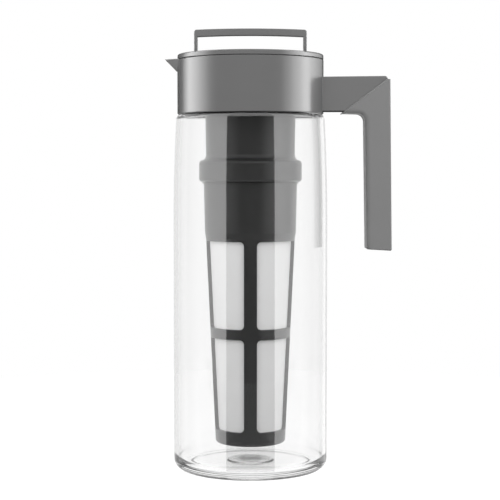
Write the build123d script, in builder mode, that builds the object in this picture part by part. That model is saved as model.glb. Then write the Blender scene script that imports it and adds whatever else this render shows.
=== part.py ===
from build123d import *
import os

# Cold brew coffee maker: a clear pitcher with a collar, a lid and a hanging infuser.
# Millimetres. +Z is up, the vessel's axis is the Z axis and the foot stands on z = 0.
# The pouring lip points along -X and the handle along +X.

os.makedirs("parts", exist_ok=True)

# Pitcher
body_radius = 53.1
pitcher_wall = 2.8
shoulder_height = 245.0
taper_height = 75.0
body_taper = 2.0
shoulder_round = 3.5
shoulder_wall = 2.0
shoulder_inner_round = 1.6
seat_width = 2.0
neck_height = 15.6
foot_round = 7.2
foot_ring_width = 4.0
foot_recess = 1.8
floor_thickness = 3.4
floor_round = 6.0
floor_pip_radius = 4.8
floor_pip_foot = 8.2
floor_pip_height = 2.8
floor_ring_radius = 16.4
floor_ring_height = 1.0

# Collar with the pouring lip
collar_setback = 0.9
collar_height = 36.9
collar_wall = 2.6
collar_edge = 0.4
neck_fit = 0.1
seal_thickness = 1.4
flange_thickness = 2.0
spout_reach = 8.9
spout_depth = 7.6
spout_half_width = 15.0
spout_foot_half_width = 1.6
spout_foot_reach = 0.7
spout_tip_rise = 0.7
spout_tip_radius = 1.2
spout_root_rise = 0.3
spout_wall = 1.5
spout_lip_wall = 2.0
spout_floor = 1.6
throat_margin = 0.5

# Handle
arm_lift = 1.95
arm_drop = 11.8
arm_rise = 0.5
arm_width = 23.0
arm_corner = 2.0
arm_edge = 0.8
handle_reach = 45.1
grip_depth = 17.2
grip_drop = 95.6
grip_lean = 1.5
grip_step = 1.5
grip_proud = 0.5
grip_wall = 2.0
grip_end_wall = 3.0
grip_end_rise = 1.0
seam_start = 12.6
seam_top_gap = 1.8
seam_top_drop = 2.2
elbow_drop = 0.45
elbow_round = 5.0
grip_inner_edge = 3.4
grip_outer_edge = 1.0

# Lid
lid_gap = 0.4
rim_setback = 0.1
rim_thickness = 3.2
rim_edge = 0.9
rim_width = 5.3
well_depth = 4.6
well_floor = 1.7
well_edge = 0.6
bore_gap = 0.6
plug_plate = 1.8
skirt_wall = 2.4
skirt_lift = 0.5
boss_wall = 2.4
boss_depth = 14.0
slot_half_width = 12.0
slot_height = 9.0
slot_corner = 1.5
seal_section = 1.8
seal_tip = 0.8
seal_depth = 1.5
rim_seal_drop = 1.4
pour_seal_lift = 1.7

# Bail
bail_half_width = 38.7
bail_rise = 20.4
bail_leg = 2.45
bail_bar = 4.9
bail_crown = 0.9
bail_depth = 4.0
bail_corner = 1.8
bail_edge = 0.4
bail_foot_flat = 0.1
pin_radius = 1.1
pin_length = 2.9
pin_fit = 0.05
ear_gap = 0.4
ear_half_width = 3.6
ear_drop = 0.4
fold_gap = 0.3
pin_end_gap = 0.3

# Infuser
pass_gap = 7.4
coupling_height = 12.2
coupling_wall = 3.9
coupling_edge = 1.3
coupling_shoulder = 2.6
flare_height = 3.8
coupling_step = 4.8
tube_length = 59.9
tube_draft = 1.0
tube_wall = 2.2
socket_gap = 0.3
thread_gap = 0.3
stop_step = 1.9
stop_height = 1.0
band_step = 1.0
band_height = 33.4
band_taper = 0.7
frame_step = 0.75
frame_step_height = 3.9
basket_wall = 2.4
basket_draft = 6.6
basket_foot_round = 2.4
floor_gap = 12.9
post_width = 8.7
window_top_gap = 1.8
upper_window = 59.7
middle_bar = 6.9
cup_height = 9.8
window_corner = 3.0
mesh_gap = 0.05
mesh_thickness = 0.5
mesh_lap = 3.0

# Places on the pitcher
shoulder_radius = body_radius - body_taper
taper_start = shoulder_height - taper_height
neck_radius = shoulder_radius - shoulder_round - seat_width
neck_inner = neck_radius - pitcher_wall
neck_top = shoulder_height + neck_height
inner_radius = body_radius - pitcher_wall
inner_shoulder = shoulder_radius - pitcher_wall
inner_top = shoulder_height - shoulder_wall
foot_ring_radius = body_radius - foot_round
floor_top = foot_recess + floor_thickness

# Places on the collar and its lip
collar_radius = shoulder_radius - collar_setback
collar_bore = collar_radius - collar_wall
collar_top = shoulder_height + collar_height
flange_bottom = neck_top + seal_thickness
flange_top = flange_bottom + flange_thickness
spout_tip = collar_radius + spout_reach
spout_high = collar_top + spout_tip_rise
spout_low = collar_top - spout_depth

# Places on the handle, in the plane y = 0
root_x = collar_radius - collar_wall / 2
arm_bottom = shoulder_height + arm_lift
arm_top = collar_top - arm_drop
arm_end_top = arm_top + arm_rise
grip_outer = collar_radius + handle_reach
grip_inner = grip_outer - grip_depth
grip_top = arm_end_top - seam_top_drop
grip_bottom = arm_bottom - grip_drop
grip_underside = arm_bottom - grip_step
seam_low_x = collar_radius + seam_start
seam_high_x = grip_outer - seam_top_gap
seam_slope = (grip_top - grip_underside) / (seam_high_x - seam_low_x)
seam_arm_x = seam_low_x + grip_step / seam_slope
grip_half_width = arm_width / 2 + grip_proud
core_half_width = grip_half_width - grip_wall
core_bottom = grip_bottom + grip_end_wall
core_lean = grip_lean * (grip_top - core_bottom) / (grip_top - grip_bottom)

# Places on the lid and the bail
rim_radius = collar_radius - rim_setback
rim_bottom = collar_top + lid_gap
rim_top = rim_bottom + rim_thickness
well_radius = rim_radius - rim_width
well_bottom = rim_top - well_depth
cap_bottom = well_bottom - well_floor
plate_bottom = cap_bottom - plug_plate
skirt_radius = collar_bore - bore_gap
skirt_inner = skirt_radius - skirt_wall
skirt_bottom = flange_top + skirt_lift
slot_back = (skirt_inner**2 - slot_half_width**2) ** 0.5 - lid_gap
seal_back = skirt_radius - seal_depth
seal_front = seal_back + seal_section
rim_seal_height = rim_bottom - rim_seal_drop
pour_seal_height = skirt_bottom + pour_seal_lift
throat_top = rim_seal_height - seal_section / 2 - throat_margin
pivot_height = well_bottom + fold_gap + bail_depth / 2
bail_top = pivot_height + bail_rise
ear_inner = bail_half_width + ear_gap
ear_outer = (well_radius + skirt_radius) / 2
pin_hole_end = bail_half_width + pin_length + pin_end_gap

# Places on the infuser
coupling_radius = neck_inner - pass_gap
coupling_bore = coupling_radius - coupling_wall
tube_foot_radius = coupling_radius - coupling_step
tube_top_radius = tube_foot_radius + tube_draft
tube_top = plate_bottom - socket_gap
tube_foot = tube_top - tube_length
ring_high = tube_foot - flare_height
ring_top = ring_high - coupling_shoulder
ring_bottom = ring_top - coupling_height
recess_top = ring_top - coupling_edge
basket_neck_radius = coupling_bore - thread_gap
basket_top = recess_top - thread_gap
stop_top = ring_bottom - thread_gap
stop_bottom = stop_top - stop_height
stop_radius = basket_neck_radius + stop_step
band_radius = basket_neck_radius + band_step
band_bottom = stop_bottom - band_height
frame_top = band_bottom - frame_step_height
frame_radius = band_radius - band_taper - frame_step
basket_bottom = floor_top + floor_gap
basket_floor = basket_bottom + basket_wall
window_top = frame_top - window_top_gap
bar_top = window_top - upper_window
bar_bottom = bar_top - middle_bar
cup_top = basket_bottom + cup_height
mesh_bottom = cup_top - mesh_lap


def frame_radius_at(z):
    """Outer radius of the basket's tapered frame at a height."""
    return frame_radius - basket_draft * (frame_top - z) / (frame_top - basket_bottom)


def lip_plan(tip, half_width):
    """Corners of the pouring lip seen from above: a beak that starts inside the collar."""
    side = (collar_radius**2 - half_width**2) ** 0.5
    back = skirt_radius - bore_gap
    return [(-back, half_width), (-side, half_width), (-tip, 0), (-side, -half_width), (-back, -half_width)]


def write(part, label):
    """Labels a finished piece and writes it as its own file."""
    part.label = label
    export_step(part, f"parts/{label}.step")


# Pitcher: one revolved shell, with a recessed foot and a neck
with BuildPart() as pitcher:
    with BuildSketch(Plane.XZ):
        with BuildLine():
            under = Line((0, foot_recess), (foot_ring_radius - foot_ring_width - foot_recess, foot_recess))
            slope = Line(under @ 1, (foot_ring_radius - foot_ring_width, 0))
            ring = Line(slope @ 1, (foot_ring_radius, 0))
            foot = TangentArc(ring @ 1, (body_radius, foot_round), tangent=(1, 0))
            side = Line(foot @ 1, (body_radius, taper_start))
            taper = TangentArc(
                side @ 1, (shoulder_radius, shoulder_height - shoulder_round), tangent=(0, 1)
            )
            shoulder = TangentArc(
                taper @ 1, (shoulder_radius - shoulder_round, shoulder_height), tangent=(0, 1)
            )
            seat = Line(shoulder @ 1, (neck_radius, shoulder_height))
            neck = Line(seat @ 1, (neck_radius, neck_top))
            lip = Line(neck @ 1, (neck_inner, neck_top))
            bore = Line(lip @ 1, (neck_inner, inner_top))
            ceiling = Line(bore @ 1, (inner_shoulder - shoulder_inner_round, inner_top))
            inner_round = TangentArc(
                ceiling @ 1, (inner_shoulder, inner_top - shoulder_inner_round), tangent=(1, 0)
            )
            inner_taper = TangentArc((inner_radius, taper_start), inner_round @ 1, tangent=(0, 1))
            inner_side = Line(inner_taper @ 0, (inner_radius, floor_top + floor_round))
            inner_foot = TangentArc(
                inner_side @ 1, (inner_radius - floor_round, floor_top), tangent=(0, -1)
            )
            floor = Line(inner_foot @ 1, (floor_ring_radius, floor_top))
            rise = Line(floor @ 1, (floor_ring_radius - floor_ring_height, floor_top + floor_ring_height))
            disc = Line(rise @ 1, (floor_pip_foot, floor_top + floor_ring_height))
            cone = Line(disc @ 1, (floor_pip_radius, floor_top + floor_pip_height))
            pip = Line(cone @ 1, (0, floor_top + floor_pip_height))
            Line(pip @ 1, under @ 0)
        make_face()
    revolve(axis=Axis.Z)
write(pitcher.part, "pitcher")

# Neck seal: a flat ring clamped between the neck and the collar's flange
with BuildPart() as neck_seal:
    with BuildSketch(Plane.XY.offset(neck_top)):
        Circle(neck_radius)
        Circle(neck_inner, mode=Mode.SUBTRACT)
    extrude(amount=seal_thickness)
write(neck_seal.part, "neck_seal")

# Pouring lip: a beak that narrows downward, with a channel inside it.
# The channel's lower end goes on through the collar's wall as the throat.
with BuildPart() as lip_outside:
    with BuildSketch(Plane.XY.offset(spout_high)):
        with BuildLine():
            Polyline(*lip_plan(spout_tip, spout_half_width), close=True)
        make_face()
    with BuildSketch(Plane.XY.offset(spout_low)):
        with BuildLine():
            Polyline(*lip_plan(collar_radius + spout_foot_reach, spout_foot_half_width), close=True)
        make_face()
    loft(ruled=True)
    brim_slope = (spout_root_rise - spout_tip_rise) / spout_reach
    brim = Plane((-spout_tip, 0, collar_top + spout_tip_rise), z_dir=(-brim_slope, 0, 1))
    split(bisect_by=brim, keep=Keep.BOTTOM)
    tip_edge = lip_outside.edges().filter_by(lambda e: abs(e.center().Y) < 0.01).sort_by(Axis.X)[0]
    fillet(tip_edge, spout_tip_radius)

with BuildPart() as lip_channel:
    with BuildSketch(Plane.XY.offset(spout_high)):
        with BuildLine():
            Polyline(*lip_plan(spout_tip - spout_lip_wall, spout_half_width - spout_wall), close=True)
        make_face()
    with BuildSketch(Plane.XY.offset(spout_low + spout_floor)):
        with BuildLine():
            Polyline(*lip_plan(collar_radius + spout_foot_reach / 2, spout_foot_half_width), close=True)
        make_face()
    loft(ruled=True)

with BuildPart() as pouring_lip:
    add(lip_outside.part)
    add(lip_channel.part, mode=Mode.SUBTRACT)

with BuildPart() as throat:
    add(lip_channel.part)
    split(bisect_by=Plane.XY.offset(throat_top), keep=Keep.BOTTOM)

# Handle core: the stiff leg inside the grip
with BuildPart() as core:
    with BuildSketch(Plane.XZ):
        with BuildLine():
            Polyline(
                (seam_low_x, grip_underside + grip_wall),
                (grip_inner + grip_wall, grip_underside - elbow_drop + grip_wall),
                (grip_inner + grip_wall + core_lean, core_bottom),
                (grip_outer - grip_wall + core_lean, core_bottom),
                (grip_outer - grip_wall, grip_top - grip_wall),
                (seam_low_x, grip_top - grip_wall),
                close=True,
            )
        make_face()
    extrude(amount=core_half_width, both=True)

# Handle arm: down to the diagonal seam, above which nothing covers it
with BuildPart() as arm:
    with BuildSketch(Plane.XZ):
        with BuildLine():
            Polyline(
                (root_x, arm_bottom),
                (seam_arm_x, arm_bottom),
                (seam_high_x, grip_top),
                (seam_high_x, arm_end_top),
                (root_x, arm_top),
                close=True,
            )
        make_face()
    extrude(amount=arm_width / 2, both=True)
    fillet(arm.edges().filter_by(Axis.Y).group_by(Axis.X)[-1].sort_by(Axis.Z)[-1], arm_corner)
    fillet(arm.faces().filter_by(Axis.Y).edges().filter_by(lambda e: e.center().Z > grip_top), arm_edge)

# Collar: ring, flange over the neck, pouring lip, handle arm and handle core in one moulding
with BuildPart() as spout_collar:
    with BuildSketch(Plane.XZ):
        with BuildLine():
            Polyline(
                (neck_radius + neck_fit, shoulder_height),
                (collar_radius, shoulder_height),
                (collar_radius, collar_top),
                (collar_bore, collar_top),
                (collar_bore, flange_top),
                (neck_inner, flange_top),
                (neck_inner, flange_bottom),
                (neck_radius + neck_fit, flange_bottom),
                close=True,
            )
        make_face()
    revolve(axis=Axis.Z)
    chamfer(spout_collar.edges().filter_by(GeomType.CIRCLE).group_by(SortBy.RADIUS)[-1], collar_edge)
    add(pouring_lip.part)
    add(arm.part)
    add(core.part)
    add(throat.part, mode=Mode.SUBTRACT)
    with BuildSketch(Plane.XY.offset(collar_top)):
        Circle(rim_radius + lid_gap)
    extrude(amount=spout_tip_rise, mode=Mode.SUBTRACT)
    with BuildSketch(Plane.XY.offset(flange_top)):
        Circle(collar_bore)
    extrude(amount=collar_height, mode=Mode.SUBTRACT)
write(spout_collar.part, "spout_collar")

# Handle grip: a soft sleeve pushed over the core, cut off along the diagonal seam
with BuildPart() as handle_grip:
    with BuildSketch(Plane.XZ) as grip_side:
        with BuildLine():
            Polyline(
                (seam_low_x, grip_underside),
                (grip_inner, grip_underside - elbow_drop),
                (grip_inner + grip_lean, grip_bottom + grip_end_rise),
                (grip_outer + grip_lean, grip_bottom),
                (grip_outer, grip_top),
                (seam_high_x, grip_top),
                close=True,
            )
        make_face()
        elbow = grip_side.vertices().sort_by_distance((grip_inner, grip_underside - elbow_drop))[0]
        fillet(elbow, elbow_round)
    extrude(amount=grip_half_width, both=True)
    side_rims = handle_grip.edges().group_by(Axis.Y)[0] + handle_grip.edges().group_by(Axis.Y)[-1]
    palm_rims = side_rims.filter_by(
        lambda e: e.center().X < grip_inner + grip_lean and grip_bottom < e.center().Z < grip_underside
    )
    fillet(palm_rims, grip_inner_edge)
    side_rims = handle_grip.edges().group_by(Axis.Y)[0] + handle_grip.edges().group_by(Axis.Y)[-1]
    back_rims = side_rims.filter_by(lambda e: e.center().X > grip_outer - grip_inner_edge)
    fillet(back_rims.filter_by(lambda e: e.length > grip_depth), grip_outer_edge)
    fillet(handle_grip.faces().sort_by(Axis.Z)[0].edges(), grip_outer_edge)
    add(core.part, mode=Mode.SUBTRACT)
write(handle_grip.part, "handle_grip")

# Lid cap: rim, well and the two ears that hold the bail
with BuildPart() as lid_cap:
    with BuildSketch(Plane.XZ):
        with BuildLine():
            Polyline(
                (0, cap_bottom),
                (skirt_radius, cap_bottom),
                (skirt_radius, rim_bottom),
                (rim_radius, rim_bottom),
                (rim_radius, rim_top),
                (well_radius, rim_top),
                (well_radius, well_bottom),
                (0, well_bottom),
                close=True,
            )
        make_face()
    revolve(axis=Axis.Z)
    top_edges = lid_cap.edges().filter_by(GeomType.CIRCLE).group_by(Axis.Z)[-1].sort_by(SortBy.RADIUS)
    fillet(top_edges[-1], rim_edge)
    chamfer(top_edges[0], well_edge)
    with BuildSketch(Plane.XY.offset(well_bottom)) as ear_plan:
        for side in (-1, 1):
            with Locations((side * (ear_inner + ear_outer) / 2, 0)):
                Rectangle(ear_outer - ear_inner, 2 * ear_half_width)
    extrude(amount=well_depth - ear_drop)
    for side in (-1, 1):
        with BuildSketch(Plane.YZ.offset(side * ear_inner)):
            with Locations((0, pivot_height)):
                Circle(pin_radius + pin_fit)
        extrude(amount=side * (pin_hole_end - ear_inner), mode=Mode.SUBTRACT)
    with BuildSketch(Plane.XZ):
        with Locations((skirt_radius, rim_seal_height)):
            Rectangle(2 * seal_depth, seal_section)
    revolve(axis=Axis.Z, mode=Mode.SUBTRACT)
write(lid_cap.part, "lid_cap")

# Lid plug: plate, skirt with two pour slots, and the socket that the infuser hangs in
with BuildPart() as lid_plug:
    with BuildSketch(Plane.XY.offset(cap_bottom)):
        Circle(skirt_radius)
    extrude(amount=-plug_plate)
    with BuildSketch(Plane.XY.offset(plate_bottom)):
        Circle(skirt_radius)
        Circle(skirt_inner, mode=Mode.SUBTRACT)
    extrude(amount=skirt_bottom - plate_bottom)
    with BuildSketch(Plane.XY.offset(plate_bottom)):
        Circle(tube_top_radius + thread_gap + boss_wall)
        Circle(tube_top_radius + thread_gap, mode=Mode.SUBTRACT)
    extrude(amount=-boss_depth)
    with BuildSketch(Plane.XZ.offset(-skirt_radius)):
        with Locations((0, plate_bottom - slot_height / 2)):
            RectangleRounded(2 * slot_half_width, slot_height, slot_corner)
    slot = extrude(amount=skirt_radius - slot_back, mode=Mode.SUBTRACT)
    mirror(slot, about=Plane.XZ, mode=Mode.SUBTRACT)
    with BuildSketch(Plane.XZ):
        with Locations((skirt_radius, pour_seal_height)):
            Rectangle(2 * seal_depth, seal_section)
    revolve(axis=Axis.Z, mode=Mode.SUBTRACT)
write(lid_plug.part, "lid_plug")

# Lid seals: soft rings that taper towards the bore, one under the rim and one below the slots
for label, height in (("rim_seal", rim_seal_height), ("pour_seal", pour_seal_height)):
    with BuildPart() as seal:
        with BuildSketch(Plane.XZ):
            with BuildLine():
                Polyline(
                    (seal_back, height - seal_section / 2),
                    (seal_front, height - seal_tip / 2),
                    (seal_front, height + seal_tip / 2),
                    (seal_back, height + seal_section / 2),
                    close=True,
                )
            make_face()
        revolve(axis=Axis.Z)
    write(seal.part, label)

# Bail: a strap loop with a slightly crowned bar, on two pins in the lid's ears
leg_inner = bail_half_width - bail_leg
bar_low = bail_top - bail_bar

with BuildPart() as lid_bail:
    with BuildSketch(Plane.XZ):
        with BuildLine():
            foot = (bail_half_width, pivot_height - bail_depth / 2)
            leg = Line(foot, (bail_half_width, bail_top - bail_crown))
            crown = ThreePointArc(leg @ 1, (0, bail_top), (-bail_half_width, bail_top - bail_crown))
            far_leg = Line(crown @ 1, (-bail_half_width, foot[1]))
            far_foot = Line(far_leg @ 1, (-leg_inner, foot[1]))
            far_inner = Line(far_foot @ 1, (-leg_inner, bar_low - bail_crown))
            under = ThreePointArc(far_inner @ 1, (0, bar_low), (leg_inner, bar_low - bail_crown))
            inner = Line(under @ 1, (leg_inner, foot[1]))
            Line(inner @ 1, foot)
        make_face()
    extrude(amount=bail_depth / 2, both=True)
    corners = lid_bail.edges().filter_by(Axis.Y).group_by(Axis.Z)[-1]
    fillet(corners, bail_corner)
    feet = lid_bail.edges().filter_by(Axis.X).group_by(Axis.Z)[0]
    fillet(feet, bail_depth / 2 - bail_foot_flat)
    rims = lid_bail.faces().filter_by(Axis.Y).edges().filter_by(lambda e: e.center().Z > pivot_height)
    chamfer(rims, bail_edge)
    for side in (-1, 1):
        with BuildSketch(Plane.YZ.offset(side * leg_inner)):
            with Locations((0, pivot_height)):
                Circle(pin_radius)
        extrude(amount=side * (bail_leg + pin_length))
write(lid_bail.part, "lid_bail")

# Infuser extender: a tube that flares into the wide coupling ring
with BuildPart() as infuser_extender:
    with BuildSketch(Plane.XZ):
        with BuildLine():
            tube = Line((tube_top_radius, tube_top), (tube_foot_radius, tube_foot))
            flare = TangentArc(tube @ 1, (coupling_radius - coupling_shoulder, ring_high), tangent=(0, -1))
            brow = JernArc((coupling_radius, ring_top), (0, 1), coupling_shoulder, 90)
            ring = Line(brow @ 0, (coupling_radius, ring_bottom + coupling_edge))
            toe = Line(ring @ 1, (coupling_radius - coupling_edge, ring_bottom))
            sole = Line(toe @ 1, (coupling_bore, ring_bottom))
            socket = Line(sole @ 1, (coupling_bore, recess_top))
            shelf = Line(socket @ 1, (tube_foot_radius - tube_wall, recess_top))
            inside = Line(shelf @ 1, (tube_top_radius - tube_wall, tube_top))
            Line(inside @ 1, tube @ 0)
        make_face()
    revolve(axis=Axis.Z)
write(infuser_extender.part, "infuser_extender")

# Infuser basket: band, four posts and two rows of windows over a closed cup
with BuildPart() as window_cutter:
    for low, high in ((bar_top, window_top), (cup_top, bar_bottom)):
        with BuildSketch(Plane.XY.offset(low)):
            Circle(coupling_radius)
            Rectangle(post_width, 2 * coupling_radius, mode=Mode.SUBTRACT)
            Rectangle(2 * coupling_radius, post_width, mode=Mode.SUBTRACT)
        extrude(amount=high - low)
    corners = window_cutter.edges().filter_by(Axis.X) + window_cutter.edges().filter_by(Axis.Y)
    fillet(corners, window_corner)

with BuildPart() as infuser_basket:
    with BuildSketch(Plane.XZ) as basket_side:
        with BuildLine():
            Polyline(
                (0, basket_bottom),
                (frame_radius_at(basket_bottom), basket_bottom),
                (frame_radius, frame_top),
                (band_radius - band_taper, band_bottom),
                (band_radius, stop_bottom),
                (stop_radius, stop_bottom),
                (stop_radius, stop_top),
                (basket_neck_radius, stop_top),
                (basket_neck_radius, basket_top),
                (basket_neck_radius - basket_wall, basket_top),
                (frame_radius - basket_wall, frame_top),
                (frame_radius_at(basket_floor) - basket_wall, basket_floor),
                (0, basket_floor),
                close=True,
            )
        make_face()
        toe = basket_side.vertices().sort_by_distance((frame_radius_at(basket_bottom), basket_bottom))[0]
        fillet(toe, basket_foot_round)
    revolve(axis=Axis.Z)
    add(window_cutter.part, mode=Mode.SUBTRACT)
write(infuser_basket.part, "infuser_basket")

# Infuser mesh: a fine sleeve against the inside of the frame
mesh_inset = basket_wall + mesh_gap
with BuildPart() as infuser_mesh:
    with BuildSketch(Plane.XZ):
        with BuildLine():
            Polyline(
                (frame_radius_at(mesh_bottom) - mesh_inset, mesh_bottom),
                (frame_radius - mesh_inset, frame_top),
                (frame_radius - mesh_inset - mesh_thickness, frame_top),
                (frame_radius_at(mesh_bottom) - mesh_inset - mesh_thickness, mesh_bottom),
                close=True,
            )
        make_face()
    revolve(axis=Axis.Z)
write(infuser_mesh.part, "infuser_mesh")
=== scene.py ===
from math import cos, hypot, pi, radians, sin, tau

import bmesh
import bpy
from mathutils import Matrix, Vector


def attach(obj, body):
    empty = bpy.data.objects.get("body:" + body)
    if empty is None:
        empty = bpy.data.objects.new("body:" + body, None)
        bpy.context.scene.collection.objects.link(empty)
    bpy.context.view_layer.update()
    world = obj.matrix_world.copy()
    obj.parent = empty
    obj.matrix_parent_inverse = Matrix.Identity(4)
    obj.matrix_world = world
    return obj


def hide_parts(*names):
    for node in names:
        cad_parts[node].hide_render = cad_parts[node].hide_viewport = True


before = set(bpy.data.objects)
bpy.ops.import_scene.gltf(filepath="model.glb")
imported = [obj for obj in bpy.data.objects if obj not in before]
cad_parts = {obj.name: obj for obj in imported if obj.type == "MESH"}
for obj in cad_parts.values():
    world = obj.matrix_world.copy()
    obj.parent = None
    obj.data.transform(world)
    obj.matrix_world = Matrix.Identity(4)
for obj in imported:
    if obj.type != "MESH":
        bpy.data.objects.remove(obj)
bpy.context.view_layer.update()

# Cold brew coffee maker: materials, fine detail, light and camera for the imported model.
# Metres. +Z is up, the foot stands on z = 0, the lip points along -X and the handle along +X.

MM = 0.001

# Colours of the object, in linear light
GREY_PLASTIC = (0.160, 0.160, 0.160)
SOFT_GRIP = (0.226, 0.226, 0.226)
DARK_PLASTIC = (0.032, 0.032, 0.032)
WHITE_MESH = (0.90, 0.90, 0.90)
SILICONE = (0.62, 0.62, 0.60)

# Moulded surfaces: noise in waves per metre, and the soft light on sharp edges
CLOUD_WAVES = 60
GRAIN_WAVES = 1800
GLOSS_WAVES = 220
EDGE_SOFTNESS = 0.5 * MM
EDGE_SAMPLES = 4
# Facing span of the painted sheen: the base colour is painted lighter edge on, a painted highlight
# on the edges
PAINTED_SHEEN_FACING = (0.5, 0.9)

# Clear plastic: its tone seen square on, at a slant and edge on. Facing is 0 for square on
# and 1 for edge on. The dark tone edge on, on upright faces, is painted shade along the wall's
# edges.
CLEAR_PLASTIC = (0.98, 0.98, 0.98)
CLEAR_DEEP = (0.95, 0.95, 0.95)
CLEAR_EDGE_SHADE = (0.70, 0.70, 0.70)
CLEAR_STRAIGHT = (0.99, 0.99, 0.99)
CLEAR_IOR = 1.45
COAT_IOR = 1.8
DEEP_FACING = (0.03, 0.08)
EDGE_SHADE_FACING = (0.55, 0.75)
COAT_FACING = (0.25, 0.40)
UPRIGHT_NORMAL = (0.1, 0.5)
RIPPLE_WAVES = 14
RIPPLE_DEPTH = 0.05 * MM
CLEAR_WAVES = 25

# The frosted mark that the mould's gate leaves in the middle of the pitcher's floor
GATE_CORE = 8.5 * MM
GATE_RADIUS = 19 * MM
GATE_HEIGHT = 8.5 * MM
GATE_REACH = 3.6 * MM
GATE_ROUGHNESS = 0.4

# Weave of the filter cloth
THREADS_ROUND = 300
THREAD_PITCH = 0.6 * MM
THREAD_RELIEF = 0.05 * MM
CLOTH_WAVES = 90

# Camera, fitted to the circles in the photograph
FRAME_PIXELS = 500
FOCAL_PIXELS = 1427.9
SENSOR_WIDTH = 36.0
CAMERA_PLACE = (-0.0003, -0.9873, 0.2033)
CAMERA_PITCH = 3.01

# Studio panels: azimuths in degrees from the camera's side, positive towards the handle
STUDIO_RADIUS = 0.9
STUDIO_LOW = -0.5
STUDIO_HIGH = 1.3
PANEL_STEP = 5
GAP_HALF = 35
SIDE = 90
LEFT_END = 134
RIGHT_END = 150
TOP_HEIGHT = 1.35
TOP_HALF = 0.45

# Lamps, as scattered light sees them
PANEL_LIGHT = 1.12
FILL_LIGHT = 1.38
TOP_LIGHT = 1.05
SHADE_LIGHT = 0.22

# Lamps, as reflections see them: azimuth and strength for satin surfaces, one strength for
# mirror-like ones, and one for mirror-like reflections inside the clear wall
SHINE_STEPS = (
    (-130, 0.0), (-122, 2.2), (-106, 7.8), (-90, 6.8), (-74, 3.7), (-64, 0.9), (-54, 0.0),
    (46, 0.0), (58, 2.2), (74, 5.7), (94, 8.7), (112, 4.1), (130, 1.6), (146, 0.7),
)
SHINE_MOST = 10.0
SHINE_LOW = -0.2
SHINE_SHARP = 1.7
INNER_SHARP = 0.85
BACK_SHARP = 1.0

# The black card in front, which is pale to what lies farther off than its reach and so
# doesn't face it
CARD_TOP = 0.75
CARD_REACH = 0.876
CARD_FAR = 0.9

# White of the room behind the clear wall, and the floor
WHITE_THROUGH = 0.93
FLOOR_WHITE = (0.30, 0.30, 0.30)
FLOOR_WAVES = 8
FLOOR_RADIUS = 0.5
FLOOR_POINTS = 96
FLOOR_GLOW = 0.85
FLOOR_GLOW_THROUGH = 0.9
FLOOR_GLOW_LOW = 0.12
FLOOR_FRONT = -0.06


# Node helpers

def new_material(name):
    """A material with an empty node tree but for its output."""
    material = bpy.data.materials.new(name)
    material.use_nodes = True
    nodes = material.node_tree.nodes
    nodes.clear()
    nodes.new("ShaderNodeOutputMaterial")
    return material


def finish_material(material, surface):
    """The material, with this shader as its surface."""
    tree = material.node_tree
    output = next(n for n in tree.nodes if n.type == "OUTPUT_MATERIAL")
    tree.links.new(surface, output.inputs["Surface"])
    return material


def add_node(tree, kind, inputs=None, **settings):
    """A node with these settings and plain input values. A value that is a socket is linked."""
    node = tree.nodes.new(kind)
    for name, value in settings.items():
        setattr(node, name, value)
    for key, value in (inputs or {}).items():
        if isinstance(value, bpy.types.NodeSocket):
            tree.links.new(value, node.inputs[key])
        else:
            node.inputs[key].default_value = value
    return node


def math_node(tree, operation, *values):
    """The result socket of one Math node."""
    return add_node(tree, "ShaderNodeMath", dict(enumerate(values)), operation=operation).outputs[0]


def noise(tree, place, scale, detail, roughness=0.5):
    """The value socket of a noise, scale in waves per metre."""
    inputs = {"Vector": place, "Scale": scale, "Detail": detail, "Roughness": roughness}
    return add_node(tree, "ShaderNodeTexNoise", inputs).outputs[0]


def spread(tree, value, low, high, span=(0.0, 1.0)):
    """A value in a span taken to a range, from low at the span's start to high at its end."""
    inputs = {
        "Value": value, "From Min": span[0], "From Max": span[1], "To Min": low, "To Max": high,
    }
    return add_node(tree, "ShaderNodeMapRange", inputs).outputs[0]


def blend(tree, factor, first, second):
    """A colour between two, each a socket or a plain colour."""
    first, second = (c + (1,) if isinstance(c, tuple) else c for c in (first, second))
    inputs = {0: factor, 6: first, 7: second}
    return add_node(tree, "ShaderNodeMix", inputs, data_type="RGBA").outputs[2]


def tinted(tree, factor, colour, change):
    """A colour that varies by this share about the one given."""
    dark = tuple(c * (1 - change) for c in colour)
    light = tuple(min(c * (1 + change), 1) for c in colour)
    return blend(tree, factor, dark, light)


def object_place(tree):
    """The place on the surface, in the object's own metres."""
    return add_node(tree, "ShaderNodeTexCoord").outputs["Object"]


def parts_of(tree, vector):
    """The x, y and z sockets of a vector."""
    return add_node(tree, "ShaderNodeSeparateXYZ", {0: vector}).outputs[:3]


def facing(tree):
    """0 where a surface is seen square on, 1 where it is seen edge on."""
    return add_node(tree, "ShaderNodeLayerWeight", {"Blend": 0.5}).outputs["Facing"]


def ray(tree, fact):
    """What the Light Path node says about the ray."""
    return add_node(tree, "ShaderNodeLightPath").outputs[fact]


# Materials of the object

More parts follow.
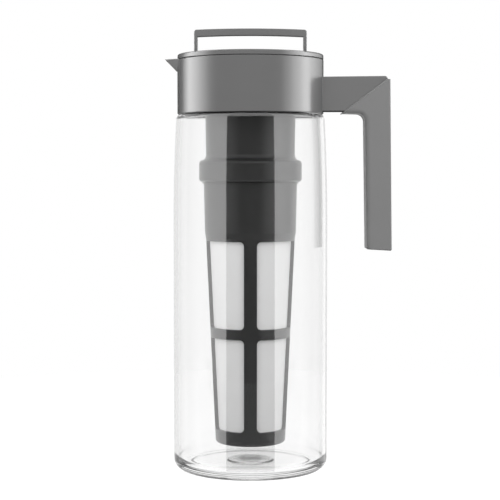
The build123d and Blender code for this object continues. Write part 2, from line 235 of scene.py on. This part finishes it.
def moulded(name, colour, roughness, grain, mottle=0.03, wear=0.05, painted_sheen=1.0, **sockets):
    """Moulded plastic or rubber: faint cloudiness, fine grain in the surface and uneven gloss.

    A painted sheen: the base colour can be painted this much lighter where the surface is seen edge
    on, a painted highlight along its edges.
    """
    material = new_material(name)
    tree = material.node_tree
    place = object_place(tree)
    cloud = noise(tree, place, CLOUD_WAVES, detail=4)
    fine = noise(tree, place, GRAIN_WAVES, detail=2)
    gloss = noise(tree, place, GLOSS_WAVES, detail=4, roughness=0.6)
    edge = add_node(tree, "ShaderNodeBevel", {"Radius": EDGE_SOFTNESS}, samples=EDGE_SAMPLES)
    bump = add_node(tree, "ShaderNodeBump", {
        "Height": fine, "Strength": 1.0, "Distance": grain, "Normal": edge.outputs[0],
    })
    tone = tinted(tree, cloud, colour, mottle)
    # Painted sheen: the base colour is painted lighter where the surface is seen edge on
    if painted_sheen != 1.0:
        edge_on = spread(tree, facing(tree), 0.0, 1.0, PAINTED_SHEEN_FACING)
        tone = blend(tree, edge_on, tone, tuple(c * painted_sheen for c in colour))
    inputs = {
        "Base Color": tone,
        "Roughness": spread(tree, gloss, roughness - wear, roughness + wear),
        "Normal": bump.outputs[0],
    }
    inputs.update(sockets)
    shader = add_node(tree, "ShaderNodeBsdfPrincipled", inputs)
    return finish_material(material, shader.outputs[0])


def clear_tone(tree, place, slant):
    """The clear plastic's colour, deeper at a slant and deepest on an upright face seen edge on,
    where it is painted shade along the wall's edges.
    """
    cloud = noise(tree, place, CLEAR_WAVES, detail=2)
    tone = blend(
        tree, spread(tree, slant, 0.0, 1.0, DEEP_FACING),
        tinted(tree, cloud, CLEAR_PLASTIC, 0.01), tinted(tree, cloud, CLEAR_DEEP, 0.01),
    )
    normal = add_node(tree, "ShaderNodeTexCoord").outputs["Normal"]
    up = math_node(tree, "ABSOLUTE", parts_of(tree, normal)[2])
    upright = spread(tree, up, 1.0, 0.0, UPRIGHT_NORMAL)
    # Painted shade: upright faces seen edge on are painted darker along the wall's edges
    edge_on = spread(tree, slant, 0.0, 1.0, EDGE_SHADE_FACING)
    return blend(tree, math_node(tree, "MULTIPLY", edge_on, upright), tone, CLEAR_EDGE_SHADE)


def gate_frost(tree, place):
    """The clear plastic's roughness, which is 0 away from the gate's mark."""
    x, y, z = parts_of(tree, place)
    squares = (math_node(tree, "POWER", x, 2.0), math_node(tree, "POWER", y, 2.0))
    from_axis = math_node(tree, "SQRT", math_node(tree, "ADD", *squares))
    near_axis = spread(tree, from_axis, GATE_ROUGHNESS, 0.0, (GATE_CORE, GATE_RADIUS))
    in_floor = math_node(tree, "COMPARE", z, GATE_HEIGHT, GATE_REACH)
    return math_node(tree, "MULTIPLY", near_axis, in_floor)


def clear_plastic():
    """Clear moulded plastic with a brighter reflection where the camera sees it square on.

    Lamps and scattered light pass straight through to what it holds.
    """
    material = new_material("clear_plastic")
    tree = material.node_tree
    place = object_place(tree)
    slant = facing(tree)
    ripple = noise(tree, place, RIPPLE_WAVES, detail=1)
    bump = add_node(tree, "ShaderNodeBump", {
        "Height": ripple, "Strength": 0.2, "Distance": RIPPLE_DEPTH,
    })
    tone = clear_tone(tree, place, slant)
    frost = gate_frost(tree, place)
    coat = spread(tree, slant, 1.0, 0.0, COAT_FACING)
    plain, coated = (
        add_node(tree, "ShaderNodeBsdfPrincipled", {
            "Base Color": tone,
            "Roughness": frost,
            "IOR": CLEAR_IOR,
            "Transmission Weight": 1.0,
            "Coat Weight": weight,
            "Coat Roughness": 0.0,
            "Coat IOR": COAT_IOR,
            "Normal": bump.outputs[0],
        }).outputs[0]
        for weight in (0.0, coat)
    )
    unbent = add_node(tree, "ShaderNodeBsdfTransparent", {"Color": CLEAR_STRAIGHT + (1,)})
    straight = unbent.outputs[0]
    surface = plain
    for fact, seen in (
        ("Is Camera Ray", coated), ("Is Diffuse Ray", straight), ("Is Shadow Ray", straight),
    ):
        inputs = {0: ray(tree, fact), 1: surface, 2: seen}
        surface = add_node(tree, "ShaderNodeMixShader", inputs).outputs[0]
    return finish_material(material, surface)


def woven_mesh():
    """Fine white filter cloth: crossing threads round the sleeve and along it."""
    material = new_material("white_mesh")
    tree = material.node_tree
    place = object_place(tree)
    x, y, z = parts_of(tree, place)
    turn = math_node(tree, "ARCTAN2", y, x)
    warp = math_node(tree, "SINE", math_node(tree, "MULTIPLY", turn, THREADS_ROUND))
    weft = math_node(tree, "SINE", math_node(tree, "MULTIPLY", z, tau / THREAD_PITCH))
    weave = math_node(tree, "MULTIPLY", warp, weft)
    height = math_node(tree, "MULTIPLY_ADD", weave, 0.5, 0.5)
    cloud = noise(tree, place, CLOTH_WAVES, detail=3)
    bump = add_node(tree, "ShaderNodeBump", {
        "Height": height, "Strength": 0.6, "Distance": THREAD_RELIEF,
    })
    tone = math_node(tree, "MULTIPLY", math_node(tree, "ADD", height, cloud), 0.5)
    shader = add_node(tree, "ShaderNodeBsdfPrincipled", {
        "Base Color": tinted(tree, tone, WHITE_MESH, 0.06),
        "Roughness": 0.85,
        "Specular IOR Level": 0.2,
        "Sheen Weight": 0.1,
        "Normal": bump.outputs[0],
    })
    return finish_material(material, shader.outputs[0])


def dress(nodes, material):
    """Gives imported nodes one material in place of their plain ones."""
    for node in nodes:
        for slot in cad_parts[node].material_slots:
            slot.link = "OBJECT"
            slot.material = material


grey = moulded("grey_plastic", GREY_PLASTIC, roughness=0.21, grain=0.003 * MM, wear=0.03)
dark = moulded("dark_plastic", DARK_PLASTIC, roughness=0.32, grain=0.004 * MM, mottle=0.05)
# The soft grip's base colour is painted twice as light edge on: a painted sheen on its edges
grip = moulded(
    "soft_grip", SOFT_GRIP, roughness=0.55, grain=0.012 * MM, mottle=0.02, painted_sheen=2.0,
    **{"Specular IOR Level": 0.1, "Sheen Weight": 0.45, "Sheen Roughness": 0.4},
)
silicone = moulded("silicone_seal", SILICONE, roughness=0.5, grain=0.006 * MM)
cloth = woven_mesh()

dress(("spout_collar", "lid_cap", "lid_plug", "lid_bail"), grey)
dress(("infuser_extender", "infuser_basket"), dark)
dress(("neck_seal", "rim_seal", "pour_seal"), silicone)
dress(("handle_grip",), grip)
dress(("pitcher",), clear_plastic())


# Fine pieces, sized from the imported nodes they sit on

def end_radii(node):
    """Height, inner radius and outer radius of a packed round node at its bottom and its top."""
    level = 0.01 * MM
    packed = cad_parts[node]
    places = [packed.matrix_world @ vertex.co for vertex in packed.data.vertices]
    ends = []
    for height in (min(p.z for p in places), max(p.z for p in places)):
        radii = [hypot(p.x, p.y) for p in places if abs(p.z - height) < level]
        ends.append((height, min(radii), max(radii)))
    return ends


def own_piece(name, data, material, body):
    """An object of the part's own that rides on a body."""
    piece = bpy.data.objects.new(name, data)
    bpy.context.scene.collection.objects.link(piece)
    data.materials.append(material)
    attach(piece, body)
    return piece


def skin(name, columns, closed_round):
    """A mesh of columns of points, each column a closed section, joined side by side."""
    sharp_angle = radians(40)
    shape = bmesh.new()
    verts = [[shape.verts.new(point) for point in column] for column in columns]
    deep = len(verts[0])
    for i in range(len(verts) if closed_round else len(verts) - 1):
        here, there = verts[i], verts[(i + 1) % len(verts)]
        for j in range(deep):
            k = (j + 1) % deep
            shape.faces.new((here[j], there[j], there[k], here[k]))
    if not closed_round:
        shape.faces.new(verts[0])
        shape.faces.new(reversed(verts[-1]))
    bmesh.ops.recalc_face_normals(shape, faces=shape.faces)
    mesh = bpy.data.meshes.new(name)
    shape.to_mesh(mesh)
    shape.free()
    mesh.shade_smooth()
    mesh.set_sharp_from_angle(angle=sharp_angle)
    return mesh


def filter_sleeve():
    """The filter cloth: slightly slack between the posts, hemmed at its ends, lapped at a post."""
    steps_round, rows = 180, 60
    cloth_thick, hem_thick, hem_height, lap_half = 0.30 * MM, 0.44 * MM, 2.2 * MM, 3 * MM
    clear, slack = 0.02 * MM, 0.12 * MM
    (low, _, low_radius), (high, _, high_radius) = end_radii("infuser_mesh")
    columns = []
    for i in range(steps_round):
        turn = tau * i / steps_round
        outside, inside = [], []
        for j in range(rows + 1):
            z = low + (high - low) * j / rows
            radius = low_radius + (high_radius - low_radius) * j / rows - clear
            from_end = min(z - low, high - z)
            lapped = abs(turn - pi / 2) * radius < lap_half
            thick = hem_thick if lapped or from_end < hem_height else cloth_thick
            free = min(max(from_end / hem_height - 1, 0), 1)
            radius -= slack * free * sin(2 * turn) ** 2
            outside.append((radius * cos(turn), radius * sin(turn), z))
            radius -= thick
            inside.append((radius * cos(turn), radius * sin(turn), z))
        columns.append(outside + inside[::-1])
    mesh = skin("filter_sleeve", columns, closed_round=True)
    sleeve = own_piece("filter_sleeve", mesh, cloth, "basket")
    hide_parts("infuser_mesh")


def basket_thread():
    """The ridge round the basket's neck that holds it in the coupling ring."""
    crest, sunk, half_foot, half_crest = 0.20 * MM, 0.05 * MM, 0.6 * MM, 0.15 * MM
    pitch, turns, below_top = 2.8 * MM, 2, 1.4 * MM
    steps, fade_steps = 72 * turns, 12
    top, _, neck = end_radii("infuser_basket")[1]
    columns = []
    for i in range(steps + 1):
        turn = tau * turns * i / steps
        z = top - below_top - pitch * turn / tau
        height = crest * min(1, min(i, steps - i) / fade_steps)
        section = (
            (neck - sunk, z + half_foot), (neck + height, z + half_crest),
            (neck + height, z - half_crest), (neck - sunk, z - half_foot),
        )
        columns.append([(r * cos(turn), r * sin(turn), up) for r, up in section])
    mesh = skin("basket_thread", columns, closed_round=False)
    own_piece("basket_thread", mesh, dark, "basket")


def outlines(faces):
    """The closed outlines of a patch of faces, each a list of vertex numbers."""
    uses = {}
    for face in faces:
        for edge in face.edge_keys:
            uses[edge] = uses.get(edge, 0) + 1
    links = {}
    for a, b in (edge for edge, count in uses.items() if count == 1):
        links.setdefault(a, []).append(b)
        links.setdefault(b, []).append(a)
    loops = []
    while links:
        loop, here = [], next(iter(links))
        while here in links:
            loop.append(here)
            here = next((n for n in links.pop(here) if n in links), None)
        loops.append(loop)
    return loops


def grip_seam():
    """The thin raised lip along the slanted edge where the soft grip ends on the arm."""
    lip, sunk, rounding = 0.4 * MM, 0.1 * MM, 2
    sideways_most, slant_least = 0.01, 0.3
    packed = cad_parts["handle_grip"]
    planes = {}
    for face in packed.data.polygons:
        way = face.normal
        if abs(way.y) < sideways_most and way.z > slant_least and way.x < -slant_least:
            planes.setdefault(round(way.x, 2), []).append(face)
    seam = max(planes.values(), key=lambda faces: sum(face.area for face in faces))
    verts = packed.data.vertices
    loops = [[packed.matrix_world @ verts[i].co for i in loop] for loop in outlines(seam)]
    edge = max(loops, key=lambda loop: max(p.x for p in loop) - min(p.x for p in loop))
    middle = sum(edge, Vector()) / len(edge)
    line = bpy.data.curves.new("grip_seam", "CURVE")
    line.dimensions = "3D"
    line.bevel_depth = lip
    line.bevel_resolution = rounding
    spline = line.splines.new("POLY")
    spline.points.add(len(edge) - 1)
    for point, place in zip(spline.points, edge):
        point.co = (*(place + (middle - place).normalized() * sunk), 1)
    spline.use_cyclic_u = True
    own_piece("grip_seam", line, grip, "root")


filter_sleeve()
basket_thread()
grip_seam()


# Studio

def seen_through(tree):
    """1 for a ray that came straight through the clear wall, with no reflection on its way."""
    direct = math_node(tree, "LESS_THAN", ray(tree, "Glossy Depth"), 0.5)
    return math_node(tree, "MULTIPLY", ray(tree, "Is Transmission Ray"), direct)


def by_azimuth(tree, steps):
    """A strength that follows these steps of azimuth and strength round the object."""
    x, y, _ = parts_of(tree, object_place(tree))
    turn = math_node(tree, "ARCTAN2", x, math_node(tree, "MULTIPLY", y, -1))
    ramp = add_node(tree, "ShaderNodeValToRGB", {0: spread(tree, turn, 0.0, 1.0, (-pi, pi))})
    ramp.color_ramp.interpolation = "EASE"
    stops = ramp.color_ramp.elements
    while len(stops) < len(steps):
        stops.new(0.5)
    for stop, (azimuth, strength) in zip(stops, steps):
        stop.position = (azimuth + 180) / 360
        stop.color = (strength / SHINE_MOST,) * 3 + (1,)
    return math_node(tree, "MULTIPLY", ramp.outputs[0], SHINE_MOST)


def emitter(name, strength, sharp=None, far=None, through=False):
    """A lamp's surface, with one strength or with steps of azimuth and strength.

    Sharp is its strength for mirror-like reflections, and far for surfaces beyond the card's
    reach. With through, it is as white as the room when seen through the clear wall.
    """
    material = new_material(name)
    tree = material.node_tree
    if isinstance(strength, tuple):
        strength = by_azimuth(tree, strength)
    if sharp is not None:
        inner = min(sharp, INNER_SHARP)
        seen = spread(tree, ray(tree, "Is Transmission Ray"), sharp, inner)
        strength = spread(tree, ray(tree, "Is Singular Ray"), strength, seen)
    if far is not None:
        from_afar = math_node(tree, "GREATER_THAN", ray(tree, "Ray Length"), CARD_REACH)
        strength = spread(tree, from_afar, strength, far)
    if through:
        strength = spread(tree, seen_through(tree), strength, WHITE_THROUGH)
    glow = add_node(tree, "ShaderNodeEmission", {"Strength": strength})
    return finish_material(material, glow.outputs[0])


def stage_mesh(name, points, faces, material, shown_to):
    """A mesh of the studio, which only the kinds of ray named here meet."""
    mesh = bpy.data.meshes.new(name)
    mesh.from_pydata(points, [], faces)
    mesh.materials.append(material)
    piece = bpy.data.objects.new(name, mesh)
    bpy.context.scene.collection.objects.link(piece)
    for kind in ("camera", "diffuse", "glossy", "transmission", "shadow"):
        setattr(piece, f"visible_{kind}", kind in shown_to)


def arc_panel(name, start, end, material, shown_to, low=STUDIO_LOW, top=STUDIO_HIGH):
    """A tall curved panel round the object, from one azimuth to another."""
    steps = max(int(abs(end - start) / PANEL_STEP), 2)
    points = []
    for i in range(steps + 1):
        turn = radians(start + (end - start) * i / steps)
        x, y = STUDIO_RADIUS * sin(turn), -STUDIO_RADIUS * cos(turn)
        points += [(x, y, low), (x, y, top)]
    faces = [(2 * i, 2 * i + 2, 2 * i + 3, 2 * i + 1) for i in range(steps)]
    stage_mesh(name, points, faces, material, shown_to)


def light_panels():
    """The lamps and cards, apart for scattered light and for reflections."""
    panel = emitter("panel_light", PANEL_LIGHT)
    shine = emitter("shine_light", SHINE_STEPS, SHINE_SHARP, through=True)
    fill = emitter("fill_light", FILL_LIGHT)
    card = emitter("black_card", 0.0, far=CARD_FAR, through=True)
    backdrop = emitter("back_card", 0.0, BACK_SHARP)
    scatter, mirror, glass = ("diffuse",), ("glossy",), ("glossy", "transmission")
    arc_panel("left_panel", -LEFT_END, -GAP_HALF, panel, scatter)
    arc_panel("right_panel", GAP_HALF, RIGHT_END, panel, scatter)
    arc_panel("left_front_shine", -SIDE, -GAP_HALF, shine, glass, SHINE_LOW)
    arc_panel("left_rear_shine", -LEFT_END, -SIDE, shine, mirror, SHINE_LOW)
    arc_panel("right_front_shine", GAP_HALF, SIDE, shine, glass, SHINE_LOW)
    arc_panel("right_rear_shine", SIDE, RIGHT_END, shine, mirror, SHINE_LOW)
    arc_panel("fill_panel", -GAP_HALF, GAP_HALF, fill, scatter)
    arc_panel("front_card", -GAP_HALF, GAP_HALF, card, glass, top=CARD_TOP)
    arc_panel("back_card", RIGHT_END, 360 - LEFT_END, backdrop, mirror)
    corners = ((-1, -1), (1, -1), (1, 1), (-1, 1))
    points = [(x * TOP_HALF, y * TOP_HALF, TOP_HEIGHT) for x, y in corners]
    top = emitter("top_light", TOP_LIGHT)
    stage_mesh("top_panel", points, [(0, 1, 2, 3)], top, ("diffuse", "glossy"))


def floor_material():
    """Pale floor that keeps the shadow and is white where the camera or the clear wall shows it."""
    material = new_material("pale_floor")
    tree = material.node_tree
    place = object_place(tree)
    cloud = noise(tree, place, FLOOR_WAVES, detail=2)
    colour = tinted(tree, cloud, FLOOR_WHITE, 0.01)
    matt = add_node(tree, "ShaderNodeBsdfDiffuse", {"Color": colour})
    behind = math_node(tree, "GREATER_THAN", parts_of(tree, place)[1], FLOOR_FRONT)
    bright = math_node(tree, "MAXIMUM", behind, seen_through(tree))
    share = spread(tree, bright, FLOOR_GLOW_LOW, FLOOR_GLOW_THROUGH)
    through = math_node(tree, "MULTIPLY", ray(tree, "Is Transmission Ray"), share)
    seen = math_node(tree, "MAXIMUM", ray(tree, "Is Camera Ray"), through)
    strength = math_node(tree, "MULTIPLY", seen, FLOOR_GLOW)
    glow = add_node(tree, "ShaderNodeEmission", {"Strength": strength})
    both = add_node(tree, "ShaderNodeAddShader", {0: matt.outputs[0], 1: glow.outputs[0]})
    return finish_material(material, both.outputs[0])


def add_floor():
    """The round floor under the object."""
    disc = bmesh.new()
    bmesh.ops.create_circle(disc, cap_ends=True, radius=FLOOR_RADIUS, segments=FLOOR_POINTS)
    points = [v.co.copy() for v in disc.verts]
    disc.free()
    kinds = ("camera", "diffuse", "transmission", "shadow")
    stage_mesh("floor", points, [tuple(range(len(points)))], floor_material(), kinds)


def white_room():
    """A world that looks white, also in gloss and through the clear wall, and is dim as light."""
    world = bpy.data.worlds.new("studio")
    bpy.context.scene.world = world
    world.use_nodes = True
    tree = world.node_tree
    tree.nodes.clear()
    clear = ray(tree, "Is Transmission Ray")
    shown = math_node(tree, "MAXIMUM", ray(tree, "Is Camera Ray"), ray(tree, "Is Glossy Ray"))
    shown = math_node(tree, "MAXIMUM", shown, clear)
    shade = add_node(tree, "ShaderNodeBackground", {"Strength": SHADE_LIGHT})
    white = add_node(tree, "ShaderNodeBackground", {
        "Color": (1, 1, 1, 1),
        "Strength": spread(tree, clear, 1.0, WHITE_THROUGH),
    })
    inputs = {0: shown, 1: shade.outputs[0], 2: white.outputs[0]}
    mix = add_node(tree, "ShaderNodeMixShader", inputs)
    add_node(tree, "ShaderNodeOutputWorld", {"Surface": mix.outputs[0]})


def add_camera():
    """The camera, at the photograph's place and angle."""
    lens = bpy.data.cameras.new("camera")
    lens.sensor_width = SENSOR_WIDTH
    lens.lens = FOCAL_PIXELS / FRAME_PIXELS * SENSOR_WIDTH
    camera = bpy.data.objects.new("camera", lens)
    camera.location = CAMERA_PLACE
    camera.rotation_euler = (radians(90 - CAMERA_PITCH), 0, 0)
    bpy.context.scene.collection.objects.link(camera)
    bpy.context.scene.camera = camera


light_panels()
add_floor()
white_room()
add_camera()
bpy.context.scene.view_settings.view_transform = "Standard"
